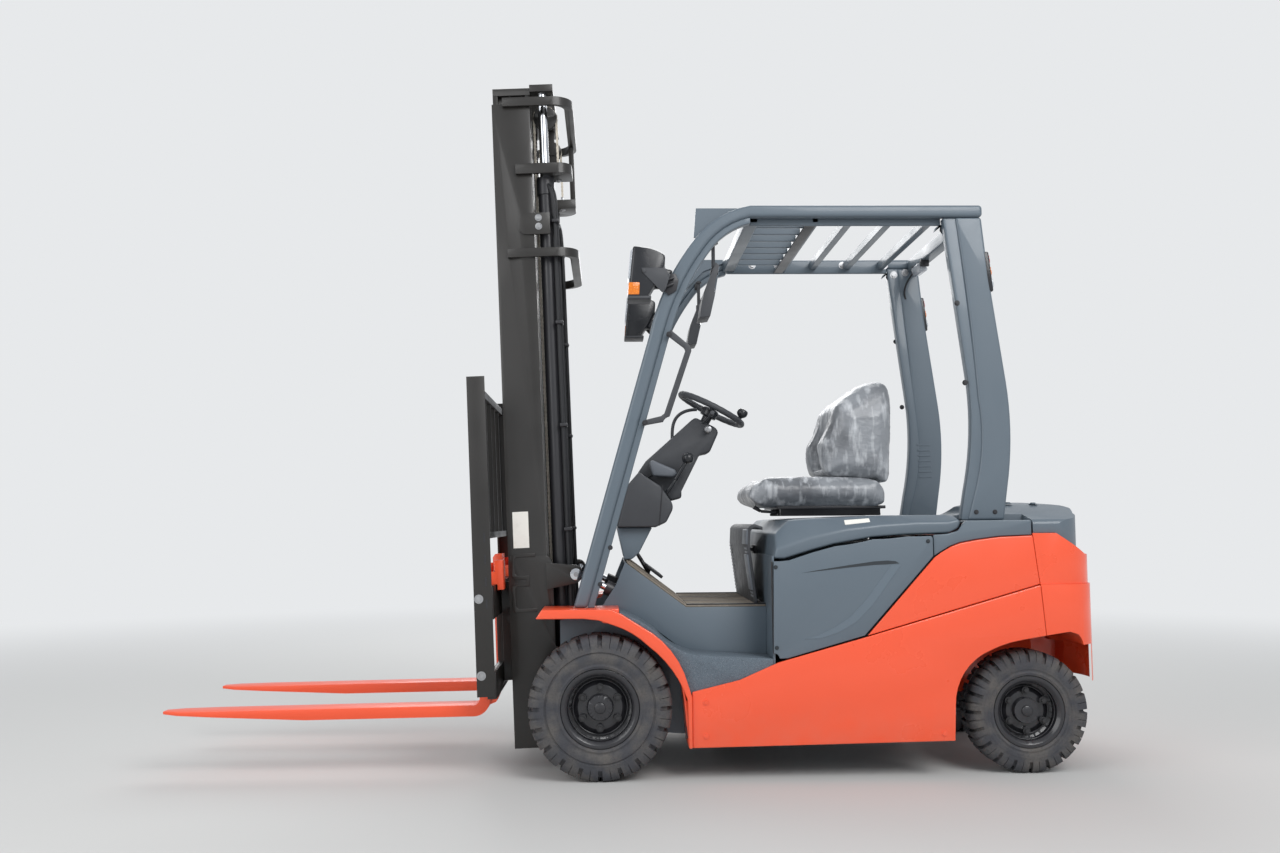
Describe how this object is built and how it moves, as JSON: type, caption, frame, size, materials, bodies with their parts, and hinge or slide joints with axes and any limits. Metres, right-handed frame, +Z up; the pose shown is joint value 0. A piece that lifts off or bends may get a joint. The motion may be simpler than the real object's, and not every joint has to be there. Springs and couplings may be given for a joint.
{
  "type": "electric counterbalance forklift",
  "caption": "Electric counterbalance forklift with a raised two-stage mast, forks, overhead guard, seat and steered rear wheels.",
  "frame": {"origin": "centre of the box over the whole truck with its forks, on the floor", "axes": "+X forward over the forks, +Y to the driver's left, +Z up"},
  "size_m": [3.5016, 1.15, 2.6549],
  "materials": {
    "orange": "gloss orange paint",
    "slate": "satin blue-grey paint",
    "mast_paint": "satin black-brown paint",
    "black_steel": "satin black paint",
    "chrome": "polished",
    "chain": "oiled",
    "tyre": "dull",
    "rim": "gloss black",
    "trim": "matt grain",
    "mat": "dusty",
    "seat": "vinyl under clear film",
    "battery": "satin grey",
    "lamp": "gloss",
    "iron": "painted black"
  },
  "bodies": {
    "truck": {"battery": "battery", "battery_covers": "slate", "battery_tray": "slate", "chassis": "slate", "counterweight": "orange", "counterweight_cover": "slate", "dash": "trim", "fenders": "orange", "floor_mat": "mat", "front_axle": "iron", "front_pillars": "slate", "grab_handle": "black_steel", "headlamps": "lamp", "mirrors": "trim", "pedals": "black_steel", "rear_axle": "iron", "rear_pillars": "slate", "roof_frame": "slate", "side_panels": "orange", "steering_column": "trim", "steps": "slate", "tow_pin": "iron"},
    "steering_wheel": {"steering_wheel": "trim"},
    "hood": {"hood": "slate", "seat_frame": "black_steel", "seat_cushion": "seat", "seat_back": "seat"},
    "mast_outer": {"outer_rails": "mast_paint", "outer_beams": "mast_paint", "lift_cylinders": "black_steel", "chain_tails": "chain"},
    "mast_inner": {"inner_rails": "mast_paint", "inner_beams": "mast_paint", "lift_rods": "chrome", "lift_chains": "chain"},
    "carriage": {"carriage": "mast_paint", "backrest": "mast_paint"},
    "fork_left": {"fork_left": "orange"},
    "fork_right": {"fork_right": "orange"},
    "tilt_barrels": {"tilt_cylinders": "black_steel"},
    "tilt_rods": {"tilt_rods": "chrome"},
    "front_wheel_left": {"front_tyre_left": "tyre", "front_rim_left": "rim"},
    "front_wheel_right": {"front_tyre_right": "tyre", "front_rim_right": "rim"},
    "knuckle_left": {"knuckle_left": "iron"},
    "knuckle_right": {"knuckle_right": "iron"},
    "rear_wheel_left": {"rear_tyre_left": "tyre", "rear_rim_left": "rim"},
    "rear_wheel_right": {"rear_tyre_right": "tyre", "rear_rim_right": "rim"}
  },
  "joints": [
    {"name": "steering_turn", "type": "hinge", "parent": "truck", "child": "steering_wheel", "pos_m": [-0.33083, 0, 1.388], "axis": [-0.4587, 0, 0.8886], "continuous": true},
    {"name": "hood_open", "type": "hinge", "parent": "truck", "child": "hood", "pos_m": [-1.20583, 0, 0.955], "axis": [0, -1, 0], "range_deg": [0, 45]},
    {"name": "mast_tilt", "type": "hinge", "parent": "truck", "child": "mast_outer", "pos_m": [0.12917, 0, 0.26], "axis": [0, 1, 0], "range_deg": [-12.2, 3.8]},
    {"name": "mast_lift", "type": "slide", "parent": "mast_outer", "child": "mast_inner", "axis": [0.0384, 0, 0.9993], "range_m": [-0.1, 1.9], "deforming": ["chain_tails"]},
    {"name": "carriage_lift", "type": "slide", "parent": "mast_inner", "child": "carriage", "axis": [0.0384, 0, 0.9993], "range_m": [-0.1, 1.9], "deforming": ["lift_chains"]},
    {"name": "fork_shift_left", "type": "slide", "parent": "carriage", "child": "fork_left", "axis": [0, 1, 0], "range_m": [-0.1, 0.06]},
    {"name": "fork_shift_right", "type": "slide", "parent": "carriage", "child": "fork_right", "axis": [0, 1, 0], "range_m": [-0.06, 0.1]},
    {"name": "tilt_barrel_swing", "type": "hinge", "parent": "truck", "child": "tilt_barrels", "pos_m": [-0.20083, 0, 0.54], "axis": [0, 1, 0], "range_deg": [-8.12, 2.87]},
    {"name": "tilt_rod_slide", "type": "slide", "parent": "tilt_barrels", "child": "tilt_rods", "axis": [0.9096, 0, 0.4154], "range_m": [-0.0887, 0.0297]},
    {"name": "front_wheel_spin_left", "type": "hinge", "parent": "truck", "child": "front_wheel_left", "pos_m": [0.12917, 0.4725, 0.26], "axis": [0, 1, 0], "continuous": true},
    {"name": "front_wheel_spin_right", "type": "hinge", "parent": "truck", "child": "front_wheel_right", "pos_m": [0.12917, -0.4725, 0.26], "axis": [0, 1, 0], "continuous": true},
    {"name": "rear_steer", "type": "hinge", "parent": "truck", "child": "knuckle_left", "pos_m": [-1.44283, 0.38, 0.223], "axis": [0, 0, 1], "range_deg": [-60, 60]},
    {"name": "rear_steer_right", "type": "hinge", "parent": "truck", "child": "knuckle_right", "pos_m": [-1.44283, -0.38, 0.223], "axis": [0, 0, 1], "range_deg": [-60, 60]},
    {"name": "rear_wheel_spin_left", "type": "hinge", "parent": "knuckle_left", "child": "rear_wheel_left", "pos_m": [-1.44283, 0.433, 0.223], "axis": [0, 1, 0], "continuous": true},
    {"name": "rear_wheel_spin_right", "type": "hinge", "parent": "knuckle_right", "child": "rear_wheel_right", "pos_m": [-1.44283, -0.433, 0.223], "axis": [0, 1, 0], "continuous": true}
  ],
  "couplings": [
    {"joint": "carriage_lift", "follows": "mast_lift", "ratio": 1},
    {"joint": "tilt_barrel_swing", "follows": "mast_tilt", "ratio": 0.62497},
    {"joint": "tilt_rod_slide", "follows": "mast_tilt", "m_per_rad": 0.4027},
    {"joint": "rear_steer_right", "follows": "rear_steer", "ratio": 1}
  ]
}
